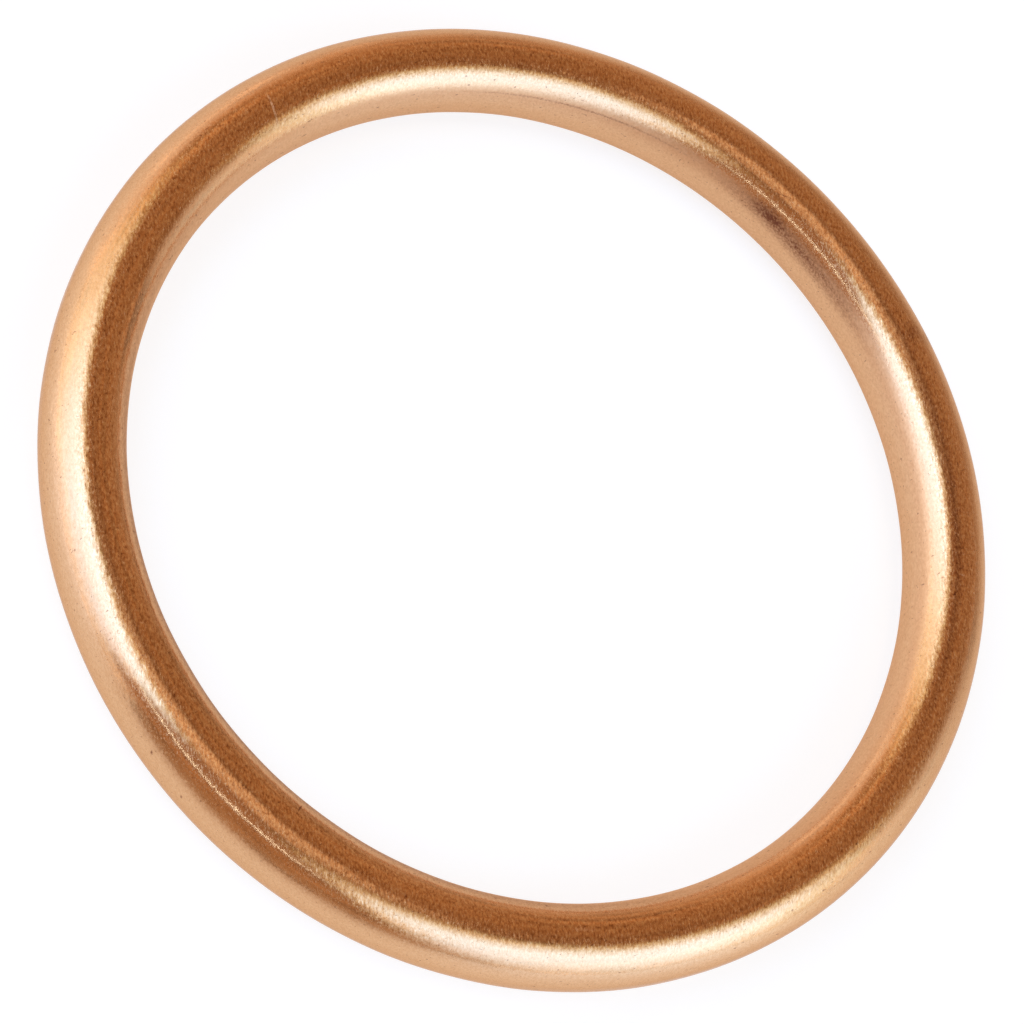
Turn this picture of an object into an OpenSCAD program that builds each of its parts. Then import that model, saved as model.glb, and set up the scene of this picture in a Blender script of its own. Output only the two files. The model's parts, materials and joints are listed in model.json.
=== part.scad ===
// Crush ring gasket for an exhaust port, rolled from one piece of soft copper sheet.
// The ring lies flat. Z is the ring's axis, and Z = 0 is the surface that it lies on.

/* [Ring] */
// Bore that the exhaust gas passes through
bore_d = 38; // [24:0.5:80]
// Width of the rolled section, along the ring's radius
section_w = 3.8; // [3.2:0.05:6]
// Height of the straight wall between the round top and the round bottom
land_h = 0.25; // [0.1:0.05:2]

/* [Sheet] */
// Thickness of the copper sheet
sheet_t = 0.4; // [0.2:0.05:0.5]

/* [Lap seam] */
// Radius, at the middle of the sheet, of the bend that takes the under edge inside
tuck_r = 0.45; // [0.3:0.05:0.6]
// Clear gap between the two layers of sheet
lap_gap = 0.05; // [0.02:0.01:0.1]
// How far the under edge reaches behind the outer one, along the sheet
lap_length = 1.1; // [0.4:0.05:1.5]

/* [Hidden] */

// Steps of the ring around its axis, and the angle of one step along a bend of the sheet
$fn = 180;
bend_step = 5;

section_h = section_w + land_h;
ring_r = (bore_d + section_w) / 2;

// Radii at the middle of the sheet: the outer wall, and the under layer of the lap
wall_r = (section_w - sheet_t) / 2;
under_r = wall_r - sheet_t - lap_gap;

// Centres of the round top and the round bottom, measured from the middle of the section
top_centre = [0, land_h / 2];
bottom_centre = [0, -land_h / 2];

// The under edge leaves the outer wall at the lowest point, turns in through tuck_turn,
// and goes straight on until it lies one sheet and one gap inside the wall.
lowest = -90;
tuck_centre = bottom_centre - [0, wall_r - tuck_r];
tuck_turn = acos((under_r - tuck_r) / (wall_r - tuck_r));
lap_edge = lowest - tuck_turn;
lap_turn = lap_length / under_r * 180 / PI;

// The sheet's path through the section, as bends: centre, radius, first and last angle.
// An angle of 0 faces outward, 90 faces up and 180 faces the bore.
// The lands and the straight stretch of the lap are what joins one bend to the next.
sheet_path = [
    [bottom_centre, wall_r, lap_edge + 360, 180],
    [top_centre, wall_r, 180, 0],
    [bottom_centre, wall_r, 0, lowest],
    [tuck_centre, tuck_r, lowest, lap_edge],
    [bottom_centre, under_r, lap_edge, lap_edge - lap_turn]
];

// Points along one bend
function bend_points(centre, radius, first, last) =
    let (steps = ceil(abs(last - first) / bend_step))
    [for (i = [0 : steps])
        let (angle = first + (last - first) * i / steps)
        centre + radius * [cos(angle), sin(angle)]];

// One face of the sheet, at a distance from its middle
function sheet_face(distance) =
    [for (bend = sheet_path) each bend_points(bend[0], bend[1] + distance, bend[2], bend[3])];

function reversed(points) = [for (i = [len(points) - 1 : -1 : 0]) points[i]];

// Half section: out along the sheet's outer face and back along its inner face
module rolled_section() {
    polygon(concat(sheet_face(sheet_t / 2), reversed(sheet_face(-sheet_t / 2))));
}

// The whole gasket: one sheet, drawn into a hollow ring and closed by a lap seam underneath
module copper_ring() {
    color("#C07C48")
        rotate_extrude()
            translate([ring_r, section_h / 2])
                rolled_section();
}

copper_ring();
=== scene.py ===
"""Looks of a copper crush ring, the gasket that seals an exhaust pipe in its port."""
import json
import math

import bpy
import numpy as np
from mathutils import Matrix, Vector


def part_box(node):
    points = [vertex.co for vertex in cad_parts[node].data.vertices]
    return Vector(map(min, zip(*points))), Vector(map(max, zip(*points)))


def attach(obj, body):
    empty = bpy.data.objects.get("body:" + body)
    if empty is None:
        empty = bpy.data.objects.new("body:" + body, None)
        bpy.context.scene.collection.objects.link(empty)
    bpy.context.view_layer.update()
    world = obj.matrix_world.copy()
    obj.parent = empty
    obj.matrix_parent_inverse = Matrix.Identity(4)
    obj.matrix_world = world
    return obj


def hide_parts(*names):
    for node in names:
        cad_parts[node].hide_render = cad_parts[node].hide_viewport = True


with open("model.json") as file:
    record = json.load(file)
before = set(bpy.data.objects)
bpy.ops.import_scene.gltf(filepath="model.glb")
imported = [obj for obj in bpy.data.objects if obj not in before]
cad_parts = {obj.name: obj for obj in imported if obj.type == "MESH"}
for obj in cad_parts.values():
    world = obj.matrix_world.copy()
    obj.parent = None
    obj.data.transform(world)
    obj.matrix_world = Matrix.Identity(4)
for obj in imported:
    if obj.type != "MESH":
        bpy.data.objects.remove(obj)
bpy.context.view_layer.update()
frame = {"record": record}        # frame["record"] gives the mounts, which give the ring's radii

# The sheet's path through the section.
# The ring is one piece of soft copper sheet, rolled into a hollow section. Its outer edge lies over its
# tucked-in edge, low on the bore side, so the lap seam is hidden while the ring lies flat.
MM = 0.001
mounts = {mount["name"]: mount["dims"] for mount in frame["record"]["mounts"]}
bore_radius = mounts["bore"]["r_mm"] * MM
outer_radius = mounts["port_seat"]["r_mm"] * MM
ring_low, ring_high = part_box("copper_ring")
section_width = outer_radius - bore_radius
section_height = ring_high.z - ring_low.z
ring_radius = (outer_radius + bore_radius) / 2
ring_middle = (ring_high.z + ring_low.z) / 2
land_height = section_height - section_width
sheet = 0.4 * MM
tuck_radius = 0.45 * MM
lap_gap = 0.05 * MM
lap_length = 1.1 * MM

wall_radius = (section_width - sheet) / 2
under_radius = wall_radius - sheet - lap_gap
top_centre = (0, land_height / 2)
bottom_centre = (0, -land_height / 2)
tuck_centre = (0, -land_height / 2 - wall_radius + tuck_radius)
tuck_turn = math.degrees(math.acos((under_radius - tuck_radius) / (wall_radius - tuck_radius)))
lowest = -90
lap_edge = lowest - tuck_turn
lap_turn = math.degrees(lap_length / under_radius)

# Each bend's centre, radius, and first and last angle: 0 faces outward, 90 up and 180 the bore.
bends = [
    (bottom_centre, wall_radius, lap_edge + 360, 180),
    (top_centre, wall_radius, 180, 0),
    (bottom_centre, wall_radius, 0, lowest),
    (tuck_centre, tuck_radius, lowest, lap_edge),
    (bottom_centre, under_radius, lap_edge, lap_edge - lap_turn),
]


def bend_points(centre, radius, first, last, step):
    """Points of one bend: centre + radius * (cos, sin) of each angle, and the way that each one faces."""
    count = max(2, math.ceil(abs(last - first) / step) + 1)
    turn = np.radians(np.linspace(first, last, count))
    facing = np.stack([np.cos(turn), np.sin(turn)], axis=1)
    return np.array(centre) + radius * facing, facing


def sheet_face(distance, step):
    """One face of the sheet: every bend with its radius changed by the distance from the sheet's middle.
    A point less than a micrometre from the one before it is left out."""
    runs = [
        bend_points(centre, radius + distance, first, last, step) for centre, radius, first, last in bends
    ]
    places = np.concatenate([run[0] for run in runs])
    facings = np.concatenate([run[1] for run in runs])
    gaps = np.linalg.norm(np.diff(places, axis=0), axis=1)
    kept = np.append(True, gaps > 0.001 * MM)
    return places[kept], facings[kept]


def cut_edge(middle, across, onward):
    """The sheet's cut edge: half of a nearly square superellipse, from one face of the sheet to the other.
    Across the sheet its place is a low power of the cosine times half the thickness, and onward from it the
    same power of the sine times the edge's rounding."""
    edge_steps = 5
    edge_round = 0.03 * MM
    power = 0.4
    turn = np.linspace(0, np.pi, edge_steps + 2)[1:-1]
    side = np.sign(np.cos(turn)) * np.abs(np.cos(turn)) ** power
    out = np.sin(turn) ** power
    return middle + sheet / 2 * side[:, None] * across + edge_round * out[:, None] * onward


# Degrees between the points: few are enough on the inside, which doesn't show.
outside_step, inside_step = 3, 15
outside, outside_facing = sheet_face(sheet / 2, outside_step)
inside, inside_facing = sheet_face(-sheet / 2, inside_step)
quarter_left = np.array([[0, 1], [-1, 0]])
over_facing, under_facing = outside_facing[0], outside_facing[-1]
over_edge = cut_edge((outside[0] + inside[0]) / 2, over_facing, over_facing @ quarter_left)
under_edge = cut_edge((outside[-1] + inside[-1]) / 2, under_facing, -under_facing @ quarter_left)
section = np.concatenate([outside, under_edge, inside[::-1], over_edge[::-1]])

# The ring.
# The section is carried around the axis. Its outer face is a little uneven, as in a ring that was rolled
# and not machined, and it only ever dips inward, so the ring stays inside the CAD solid's box.
ring_steps = 520
around = np.arange(ring_steps) * 2 * np.pi / ring_steps
facing = np.zeros_like(section)
facing[: len(outside)] = outside_facing
facing_angle = np.arctan2(facing[:, 1], facing[:, 0])


def unevenness(turn, angle):
    """Slow waves from 0 to 1: a sum of cosines that close on themselves both around the ring and around
    the section, divided by the largest sum that they can reach. Short waves are lower: one that goes
    around the ring half_count times is half as high as a slow one."""
    dice = np.random.default_rng(7)
    wave_count = 26
    half_count = 12
    total = np.zeros(np.broadcast(turn, angle).shape)
    largest = 0
    for _ in range(wave_count):
        around_count = dice.integers(2, 34)
        section_count = dice.integers(0, 4)
        size = dice.uniform(0.2, 1.0) / (1 + around_count / half_count)
        total += size * np.cos(around_count * turn + section_count * angle + dice.uniform(0, 2 * np.pi))
        largest += size
    return (total / largest + 1) / 2


# A point of the section goes to (radius * cos turn, radius * sin turn, height) at each turn of the ring.
wave_depth = 0.045 * MM
dip = wave_depth * (unevenness(around[:, None], facing_angle[None, :]) - 1)
along_radius = ring_radius + section[:, 0] + dip * facing[:, 0]
height = ring_middle + section[:, 1] + dip * facing[:, 1]
points = np.stack(
    [along_radius * np.cos(around)[:, None], along_radius * np.sin(around)[:, None], height], axis=2
).reshape(-1, 3)

rows, columns = np.meshgrid(np.arange(ring_steps), np.arange(len(section)), indexing="ij")
corner_rows = np.stack([rows, rows, rows + 1, rows + 1], axis=2)
corner_columns = np.stack([columns, columns + 1, columns + 1, columns], axis=2)
quads = corner_rows % ring_steps * len(section) + corner_columns % len(section)

# The unrolled sheet in millimetres, as the ring's UV map: around the ring, then along the section.
steps = np.linalg.norm(np.roll(section, -1, axis=0) - section, axis=1)
along_section = np.concatenate([[0], np.cumsum(steps)]) / MM
ring_length = 2 * np.pi * ring_radius / MM
unrolled = np.stack([corner_rows / ring_steps * ring_length, along_section[corner_columns]], axis=3)

mesh = bpy.data.meshes.new("rolled_ring")
mesh.from_pydata(points.tolist(), [], quads.reshape(-1, 4).tolist())
mesh.uv_layers.new(name="unrolled").data.foreach_set("uv", unrolled.astype(np.float32).ravel())
mesh.shade_smooth()
sharp_angle = math.radians(50)
mesh.set_sharp_from_angle(angle=sharp_angle)
ring = bpy.data.objects.new("rolled_ring", mesh)
bpy.context.scene.collection.objects.link(ring)
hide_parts("copper_ring")
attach(ring, "root")


def sheet_place(turn, angle):
    """Place on the unrolled sheet of an angle around the ring and an angle around the section, both in
    degrees: shares of the ring's length and of the section's arc, with the land where it is passed."""
    arc = section_width / 2 * math.radians(lap_edge + 360 - angle) + land_height * (angle < 180)
    return turn / 360 * ring_length, arc / MM


def linear(hex_colour):
    """Linear colour of an sRGB hex value such as C07C48."""
    parts = [int(hex_colour[i : i + 2], 16) / 255 for i in (0, 2, 4)]
    return [c / 12.92 if c <= 0.04045 else ((c + 0.055) / 1.055) ** 2.4 for c in parts] + [1]


def add_node(tree, kind, inputs, **settings):
    """Adds a node, sets its settings, and fills its inputs with values or with links from other nodes,
    of which the first output is taken unless a socket is named."""
    node = tree.nodes.new(kind)
    for name, value in settings.items():
        setattr(node, name, value)
    for name, value in inputs.items():
        if isinstance(value, bpy.types.Node):
            value = value.outputs[0]
        if isinstance(value, bpy.types.NodeSocket):
            tree.links.new(value, node.inputs[name])
        else:
            node.inputs[name].default_value = value
    return node


# The finish: soft copper, rubbed with fine abrasive paper in straight strokes across the whole ring.
# It gives a satin shine: reflections are clear in shape, but their edges are frayed by the strokes, and
# the metal between them is mottled and speckled. Real strokes are about 0.03 mm wide, less than a pixel, so
# they are drawn 0.1 mm wide.
satin_copper = bpy.data.materials.new("satin_copper")
satin_copper.use_nodes = True
mesh.materials.append(satin_copper)
tree = satin_copper.node_tree
shader = tree.nodes["Principled BSDF"]
grazing_colour = linear("EAD7C7")
shader.inputs["Metallic"].default_value = 1
shader.inputs["Specular Tint"].default_value = grazing_colour

place = add_node(tree, "ShaderNodeTexCoord", {})
face_normal = add_node(tree, "ShaderNodeNewGeometry", {}).outputs["Normal"]
unrolled_place = add_node(tree, "ShaderNodeUVMap", {}, uv_map="unrolled")
stroke_heading = math.radians(140)


def strokes(long, wide, heading, detail):
    """Noise drawn out along straight strokes, of which the length and width are in millimetres: the place
    on the ring is turned back by the heading and divided by the length and the width."""
    turned = add_node(
        tree,
        "ShaderNodeVectorRotate",
        {"Vector": place.outputs["Object"], "Angle": -heading},
        rotation_type="Z_AXIS",
    )
    scaled = add_node(
        tree,
        "ShaderNodeVectorMath",
        {0: turned, 1: (1 / (long * MM), 1 / (wide * MM), 1 / (wide * MM))},
        operation="MULTIPLY",
    )
    return add_node(
        tree, "ShaderNodeTexNoise", {"Vector": scaled, "Scale": 1.0, "Detail": detail, "Roughness": 0.7}
    )


# Each stroke tips the surface to its sides and hardly along its length, which frays every reflection.
# The tip is the noise's distance from its middle, and grows faster than that distance, so that a few deep
# strokes catch light from far off.
fine_strokes = strokes(0.6, 0.11, stroke_heading, 3)
off_middle = add_node(
    tree,
    "ShaderNodeVectorMath",
    {0: fine_strokes.outputs["Color"], 1: (0.5, 0.5, 0.5)},
    operation="SUBTRACT",
)
square = add_node(tree, "ShaderNodeVectorMath", {0: off_middle, 1: off_middle}, operation="DOT_PRODUCT")
slope = add_node(
    tree, "ShaderNodeMath", {0: square.outputs["Value"], 1: 5.0, 2: 0.12}, operation="MULTIPLY_ADD"
)
steep = add_node(tree, "ShaderNodeVectorMath", {0: off_middle, "Scale": slope}, operation="SCALE")
tip = add_node(tree, "ShaderNodeVectorMath", {0: steep, 1: (0.17, 1, 1)}, operation="MULTIPLY")
tip_turned = add_node(
    tree, "ShaderNodeVectorRotate", {"Vector": tip, "Angle": stroke_heading}, rotation_type="Z_AXIS"
)
tipped = add_node(tree, "ShaderNodeVectorMath", {0: tip_turned, 1: face_normal}, operation="ADD")
frayed = add_node(tree, "ShaderNodeVectorMath", {0: tipped}, operation="NORMALIZE")
tree.links.new(frayed.outputs[0], shader.inputs["Normal"])

# Grime in the scratches darkens the copper in short thin flecks, and rubbing brightens it between them.
# They are strongest on the crown, where the ring is handled and rubbed most: 1 there, 0.22 on the flanks.
across_sheet = add_node(tree, "ShaderNodeSeparateXYZ", {0: unrolled_place})
crown_line = sheet_place(0, 95)[1]
from_crown = add_node(
    tree, "ShaderNodeMath", {0: across_sheet.outputs["Y"], 1: crown_line}, operation="SUBTRACT"
)
crown_gap = add_node(tree, "ShaderNodeMath", {0: from_crown}, operation="ABSOLUTE")
crown = add_node(
    tree,
    "ShaderNodeMapRange",
    {"Value": crown_gap, "From Min": 0.5, "From Max": 1.1, "To Min": 1.0, "To Max": 0.22},
    interpolation_type="SMOOTHSTEP",
)
grime = strokes(0.18, 0.1, stroke_heading, 3)
grime_middle = add_node(tree, "ShaderNodeMath", {0: grime.outputs["Fac"], 1: 0.5}, operation="SUBTRACT")
grime_level = add_node(
    tree, "ShaderNodeMath", {0: grime_middle, 1: crown, 2: 0.5}, operation="MULTIPLY_ADD"
)
flecks = add_node(tree, "ShaderNodeValToRGB", {"Fac": grime_level})
fleck_colours = [(0.25, "885230"), (0.4, "C39064"), (0.51, "DBAB80"), (0.73, "F6D5AC")]
stops = flecks.color_ramp.elements
while len(stops) < len(fleck_colours):
    stops.new(0.5)
for stop, (level, colour) in zip(stops, fleck_colours):
    stop.position = level
    stop.color = linear(colour)

# Stains, pits and patches of painted shade are dark, and fresh scratches and scuffs are bright, because
# they scatter the light.
# Their outlines are ragged: a noise of short strokes shifts the place on the sheet by up to 0.12 mm.
wander = strokes(0.25, 0.12, stroke_heading, 1)
ragged_place = add_node(
    tree,
    "ShaderNodeVectorMath",
    {0: wander.outputs["Color"], 1: (0.12, 0.12, 0), 2: unrolled_place},
    operation="MULTIPLY_ADD",
)


def marks(spots):
    """Spots on the unrolled sheet, as a level that is the depth in the middle of a spot and falls to 0 at
    its edge. A spot is an ellipse: its angles around the ring and around the section, its length and
    width in millimetres, its heading in degrees from the way around the ring, and its depth."""
    level = 0.0
    for turn, angle, long, wide, heading, depth in spots:
        local = add_node(
            tree,
            "ShaderNodeMapping",
            {
                "Vector": ragged_place,
                "Location": (*sheet_place(turn, angle), 0),
                "Rotation": (0, 0, math.radians(heading)),
                "Scale": (long / 2, wide / 2, 1),
            },
            vector_type="TEXTURE",
        )
        spot = add_node(tree, "ShaderNodeTexGradient", {"Vector": local}, gradient_type="SPHERICAL")
        deep = add_node(tree, "ShaderNodeMath", {0: spot, 1: depth}, operation="MULTIPLY")
        level = add_node(tree, "ShaderNodeMath", {0: level, 1: deep}, operation="MAXIMUM")
    return level


# Dark marks on the sheet. Most are stains, scratches and specks that the copper has; some are painted shade
# and painted dark reflections, as noted at each.
stains_and_painted_shade = marks(
    [
        # Painted dark reflection: two patches darken the bore side low on the far side, deepening the dark
        # that it mirrors there.
        (91, 151, 13.0, 1.3, 0, 0.8),
        (97, 147, 4.0, 1.0, 0, 1.4),
        # Painted shade: a long band darkens the near bore side along its lower edge, where it mirrors the
        # floor in the ring's shadow.
        (265, 143, 62.0, 1.1, 0, 0.75),
        # Painted dark reflection: a band darkens the crown on the far right, deepening the dark band that
        # it mirrors there.
        (45, 98, 34.0, 0.9, 0, 0.55),
        # Dark scratches, stains and specks on the copper.
        (97.5, 139, 1.1, 0.3, 90, 0.9),
        (97.7, 110, 1.2, 0.08, -22, 1.0),
        (73, 80, 1.5, 2.4, 0, 0.5),
        (72, 40, 1.2, 2.0, 0, 0.45),
        (38.2, 148, 0.3, 0.12, 90, 1.3),
        (230.5, 155, 0.6, 0.22, 90, 1.0),
        (239.5, 141, 0.7, 0.12, 90, 1.2),
        (280.3, 119, 0.7, 0.1, 90, 1.5),
        (308, 139, 0.5, 0.35, 90, 0.9),
        (315, 139, 0.5, 0.3, 90, 0.8),
        (264.2, 16.5, 0.35, 0.16, 60, 1.4),
        (269.8, 7, 0.25, 0.12, 60, 1.2),
        # Painted shade: a thin dark line along the far bore side, where its highlight ends.
        (128, 147, 15.0, 0.14, 0, 0.6),
    ]
)

# The last of the scratches is a long stretch of the outer flank that is evenly scuffed.
scratches = marks(
    [
        (174.7, 95.0, 1.9, 0.16, 106, 1.5),
        (39.7, 91, 0.45, 0.1, 90, 1.0),
        (319, 99, 1.6, 0.35, 0, 0.5),
        (68, 50, 70.0, 4.2, 0, 0.3),
    ]
)

# A stain or a patch of painted shade is darkest where grime fills the strokes, so it is mottled as the
# metal around it is.
grime_share = add_node(
    tree,
    "ShaderNodeMapRange",
    {"Value": grime.outputs["Fac"], "From Min": 0.35, "From Max": 0.62, "To Min": 1.3, "To Max": 0.45},
)
mottled_stains_and_shade = add_node(tree, "ShaderNodeMath", {0: stains_and_painted_shade, 1: grime_share}, operation="MULTIPLY")

# Fine pits all over the ring: the few peaks of a noise of short strokes.
pit_heading = math.radians(75)
pit_noise = strokes(0.32, 0.13, pit_heading, 1)
pits = add_node(
    tree,
    "ShaderNodeMapRange",
    {"Value": pit_noise.outputs["Fac"], "From Min": 0.69, "From Max": 0.76, "To Min": 0.0, "To Max": 0.6},
)
# The level of brown: the stains and pits, with the painted shade and painted dark reflections among the
# stains.
stain_and_shade_level = add_node(
    tree, "ShaderNodeMath", {0: mottled_stains_and_shade, 1: pits}, operation="ADD", use_clamp=True
)

# A Mix node's colours are its inputs 6 and 7 and its output 2.
# The brown of the stains, also used for the painted shade and painted dark reflections.
stain_and_shade_brown = linear("80503A")
copper_colour = add_node(
    tree, "ShaderNodeMix", {0: stain_and_shade_level, 6: flecks.outputs["Color"], 7: stain_and_shade_brown}, data_type="RGBA"
)
tree.links.new(copper_colour.outputs[2], shader.inputs["Base Color"])

# Scuffs roughen the copper in small flecks, and the bore side grows duller towards the floor, so that it
# mirrors no clear line of the wall across from it.
scuffs = strokes(0.22, 0.06, stroke_heading, 2)
rough_flecks = add_node(
    tree,
    "ShaderNodeMapRange",
    {"Value": scuffs.outputs["Fac"], "From Min": 0.5, "From Max": 0.72, "To Min": 0.15, "To Max": 0.4},
)
dull = add_node(
    tree,
    "ShaderNodeMapRange",
    {"Value": from_crown, "From Min": -1.15, "From Max": -1.85, "To Min": 0.0, "To Max": 0.28},
    interpolation_type="SMOOTHSTEP",
)
scratched = add_node(tree, "ShaderNodeMath", {0: scratches, 1: 0.45, 2: dull}, operation="MULTIPLY_ADD")
roughness = add_node(tree, "ShaderNodeMath", {0: scratched, 1: rough_flecks}, operation="ADD")
tree.links.new(roughness.outputs[0], shader.inputs["Roughness"])

# The floor: a light table of glossy opal acrylic, lit from below, that the ring lies on.
# It is white from every side, keeps the ring's soft shadow, and mirrors a little of the room. Only the
# camera and the metal's reflections see its glow, so it is no lamp for anything else.
floor_radius = 2.0
floor_sides = 96
floor_turn = np.arange(floor_sides) * 2 * np.pi / floor_sides
floor_edge = [np.cos(floor_turn), np.sin(floor_turn), np.zeros_like(floor_turn)]
floor_points = floor_radius * np.stack(floor_edge, axis=1)
floor_mesh = bpy.data.meshes.new("light_table")
floor_mesh.from_pydata(floor_points.tolist(), [], [list(range(floor_sides))])
floor = bpy.data.objects.new("light_table", floor_mesh)
bpy.context.scene.collection.objects.link(floor)

opal_acrylic = bpy.data.materials.new("opal_acrylic")
opal_acrylic.use_nodes = True
opal_acrylic.cycles.emission_sampling = "NONE"
floor_mesh.materials.append(opal_acrylic)
tree = opal_acrylic.node_tree
tree.nodes.clear()

# The glow is 0.8 of white, and the acrylic's own pale grey in the lamps' light gives the rest.
body = add_node(tree, "ShaderNodeBsdfDiffuse", {"Color": linear("8E8E8C")})
ray = add_node(tree, "ShaderNodeLightPath", {})
direct, mirrored = ray.outputs["Is Camera Ray"], ray.outputs["Is Glossy Ray"]
seen = add_node(tree, "ShaderNodeMath", {0: direct, 1: mirrored}, operation="MAXIMUM")
glow_level = add_node(tree, "ShaderNodeMath", {0: seen, 1: 0.8}, operation="MULTIPLY")
glow = add_node(tree, "ShaderNodeEmission", {"Color": (1, 1, 1, 1), "Strength": glow_level})
lit_body = add_node(tree, "ShaderNodeAddShader", {0: body, 1: glow})
gloss = add_node(tree, "ShaderNodeBsdfGlossy", {"Color": (1, 1, 1, 1), "Roughness": 0.3})
grazing = add_node(tree, "ShaderNodeFresnel", {"IOR": 1.49})
surface = add_node(tree, "ShaderNodeMixShader", {0: grazing, 1: lit_body, 2: gloss})
add_node(tree, "ShaderNodeOutputMaterial", {"Surface": surface})


# The light: a large soft box at each side over a dimmer card, and a thin strip beside the camera.
# They stand in a dim warm room, a little brighter to the left, which the metal shows as its dark bands.
def soft_box(name, azimuth, elevation, lean, wide, tall, fades, strength, core, rim):
    """A rectangular lamp that faces the ring and fades out towards its edges. Its level is the product of
    smooth steps from one side, the other side, the top and the bottom, each over its own share of the width
    or height. Its colour goes from the rim's to the core's with the product of the first three. Azimuth 0
    is the far side and 90 the right, the sizes are in degrees as the ring sees them, the lean turns the box
    about the line to the ring, and a strength of 1 is white."""
    distance = 0.6
    turn, lift = math.radians(azimuth), math.radians(elevation)
    away = Vector((math.sin(turn) * math.cos(lift), math.cos(turn) * math.cos(lift), math.sin(lift)))
    lamp = bpy.data.lights.new(name, "AREA")
    lamp.shape = "RECTANGLE"
    lamp.size = 2 * distance * math.tan(math.radians(wide / 2))
    lamp.size_y = 2 * distance * math.tan(math.radians(tall / 2))
    lamp.energy = strength * math.pi * lamp.size * lamp.size_y
    lamp.use_nodes = True
    tree = lamp.node_tree
    emission = tree.nodes["Emission"]
    spot = add_node(tree, "ShaderNodeNewGeometry", {})
    across = add_node(tree, "ShaderNodeSeparateXYZ", {0: spot.outputs["Parametric"]})
    level = 1.0
    for axis, edge, share in zip("XXYY", (0, 1, 1, 0), fades):
        step = add_node(
            tree,
            "ShaderNodeMapRange",
            {"Value": across.outputs[axis], "From Min": edge, "From Max": abs(edge - share)},
            interpolation_type="SMOOTHSTEP",
        )
        core_share = level
        level = add_node(tree, "ShaderNodeMath", {0: level, 1: step}, operation="MULTIPLY")
    colour = add_node(
        tree, "ShaderNodeMix", {0: core_share, 6: (*rim, 1), 7: (*core, 1)}, data_type="RGBA"
    )
    tree.links.new(colour.outputs[2], emission.inputs["Color"])
    tree.links.new(level.outputs[0], emission.inputs["Strength"])
    box = bpy.data.objects.new(name, lamp)
    look = (-away).to_track_quat("-Z", "Y").to_matrix().to_4x4()
    leaning = Matrix.Rotation(math.radians(lean), 4, "Z")
    box.matrix_world = Matrix.Translation(distance * away) @ look @ leaning
    box.visible_camera = False
    bpy.context.scene.collection.objects.link(box)


# The lamps are bluish in their middle, because copper takes the blue out of what it mirrors.
cool_core = (0.55, 1.0, 1.72)
warm_rim = (0.8, 0.94, 0.48)
card_white = (0.74, 1.0, 1.2)
soft_box("left_box", -112, 32, 18, 77, 94, (0.62, 0.1, 0.27, 0.76), 2.5, cool_core, warm_rim)
soft_box("right_box", 98, 35, -16, 82, 78, (0.27, 0.36, 0.4, 0.6), 2.2, cool_core, warm_rim)
soft_box("left_card", -104, 8, 0, 124, 70, (0.35, 0.12, 0.45, 0.3), 0.5, card_white, card_white)
soft_box("right_card", 84, 8, 0, 112, 70, (0.35, 0.35, 0.45, 0.3), 0.7, card_white, card_white)
soft_box("strip", 177, 47, 0, 44, 1.2, (0.3, 0.3, 0.3, 0.3), 8.5, card_white, card_white)

world = bpy.data.worlds.new("dim_room")
bpy.context.scene.world = world
world.use_nodes = True
tree = world.node_tree
heading = add_node(tree, "ShaderNodeTexCoord", {})
upward = add_node(tree, "ShaderNodeSeparateXYZ", {0: heading.outputs["Generated"]})

# The walls' colour at each elevation in degrees. Its place on the colour ramp is the elevation's sine.
walls = add_node(tree, "ShaderNodeValToRGB", {"Fac": upward.outputs["Z"]})
wall_colours = [
    (0, "CCB8A8"),
    (6, "B99D85"),
    (14, "AE8D70"),
    (35, "AA825E"),
    (55, "A87F5A"),
    (72, "A07754"),
    (90, "ECCCAC"),
]
stops = walls.color_ramp.elements
while len(stops) < len(wall_colours):
    stops.new(0.5)
for stop, (angle, colour) in zip(stops, wall_colours):
    stop.position = math.sin(math.radians(angle))
    stop.color = linear(colour)
clutter = add_node(
    tree, "ShaderNodeTexNoise", {"Vector": heading.outputs["Generated"], "Scale": 8.0, "Detail": 4.0}
)
shade = add_node(
    tree,
    "ShaderNodeMapRange",
    {"Value": clutter.outputs["Fac"], "From Min": 0.3, "From Max": 0.7, "To Min": 0.45, "To Max": 1.75},
)
left_gain = add_node(
    tree,
    "ShaderNodeMapRange",
    {"Value": upward.outputs["X"], "From Min": -0.2, "From Max": -0.8, "To Min": 1.0, "To Max": 1.6},
)
wall_level = add_node(tree, "ShaderNodeMath", {0: shade, 1: left_gain}, operation="MULTIPLY")
room = add_node(
    tree, "ShaderNodeVectorMath", {0: walls.outputs["Color"], "Scale": wall_level}, operation="SCALE"
)
tree.links.new(room.outputs["Vector"], tree.nodes["Background"].inputs["Color"])

# The camera, at the photograph's viewing angle.
# Its place was found by fitting a ring seen in perspective: distance in ring radii, lens in pixels.
camera_elevation = math.radians(59.58)
camera_roll = math.radians(48.59)
camera_distance = 7.953 * ring_radius
focal_pixels = 3693
ring_right_pixels, ring_up_pixels = 19.8, 19.5
image_pixels = 1024

back = Vector((0, -math.cos(camera_elevation), math.sin(camera_elevation)))
aim = (-back).to_track_quat("-Z", "Y").to_matrix().to_4x4()
rolled = Matrix.Rotation(camera_roll, 4, "Z")
pan = Matrix.Rotation(math.atan2(ring_right_pixels, focal_pixels), 4, "Y")
tip_down = Matrix.Rotation(-math.atan2(ring_up_pixels, focal_pixels), 4, "X")
camera_data = bpy.data.cameras.new("camera")
camera_data.sensor_width = 36
camera_data.lens = focal_pixels / image_pixels * camera_data.sensor_width
camera_data.clip_start = 0.01
camera = bpy.data.objects.new("camera", camera_data)
camera_place = Vector((0, 0, ring_middle)) + camera_distance * back
camera.matrix_world = Matrix.Translation(camera_place) @ aim @ rolled @ pan @ tip_down
bpy.context.scene.collection.objects.link(camera)
bpy.context.scene.camera = camera
bpy.context.scene.view_settings.view_transform = "Standard"
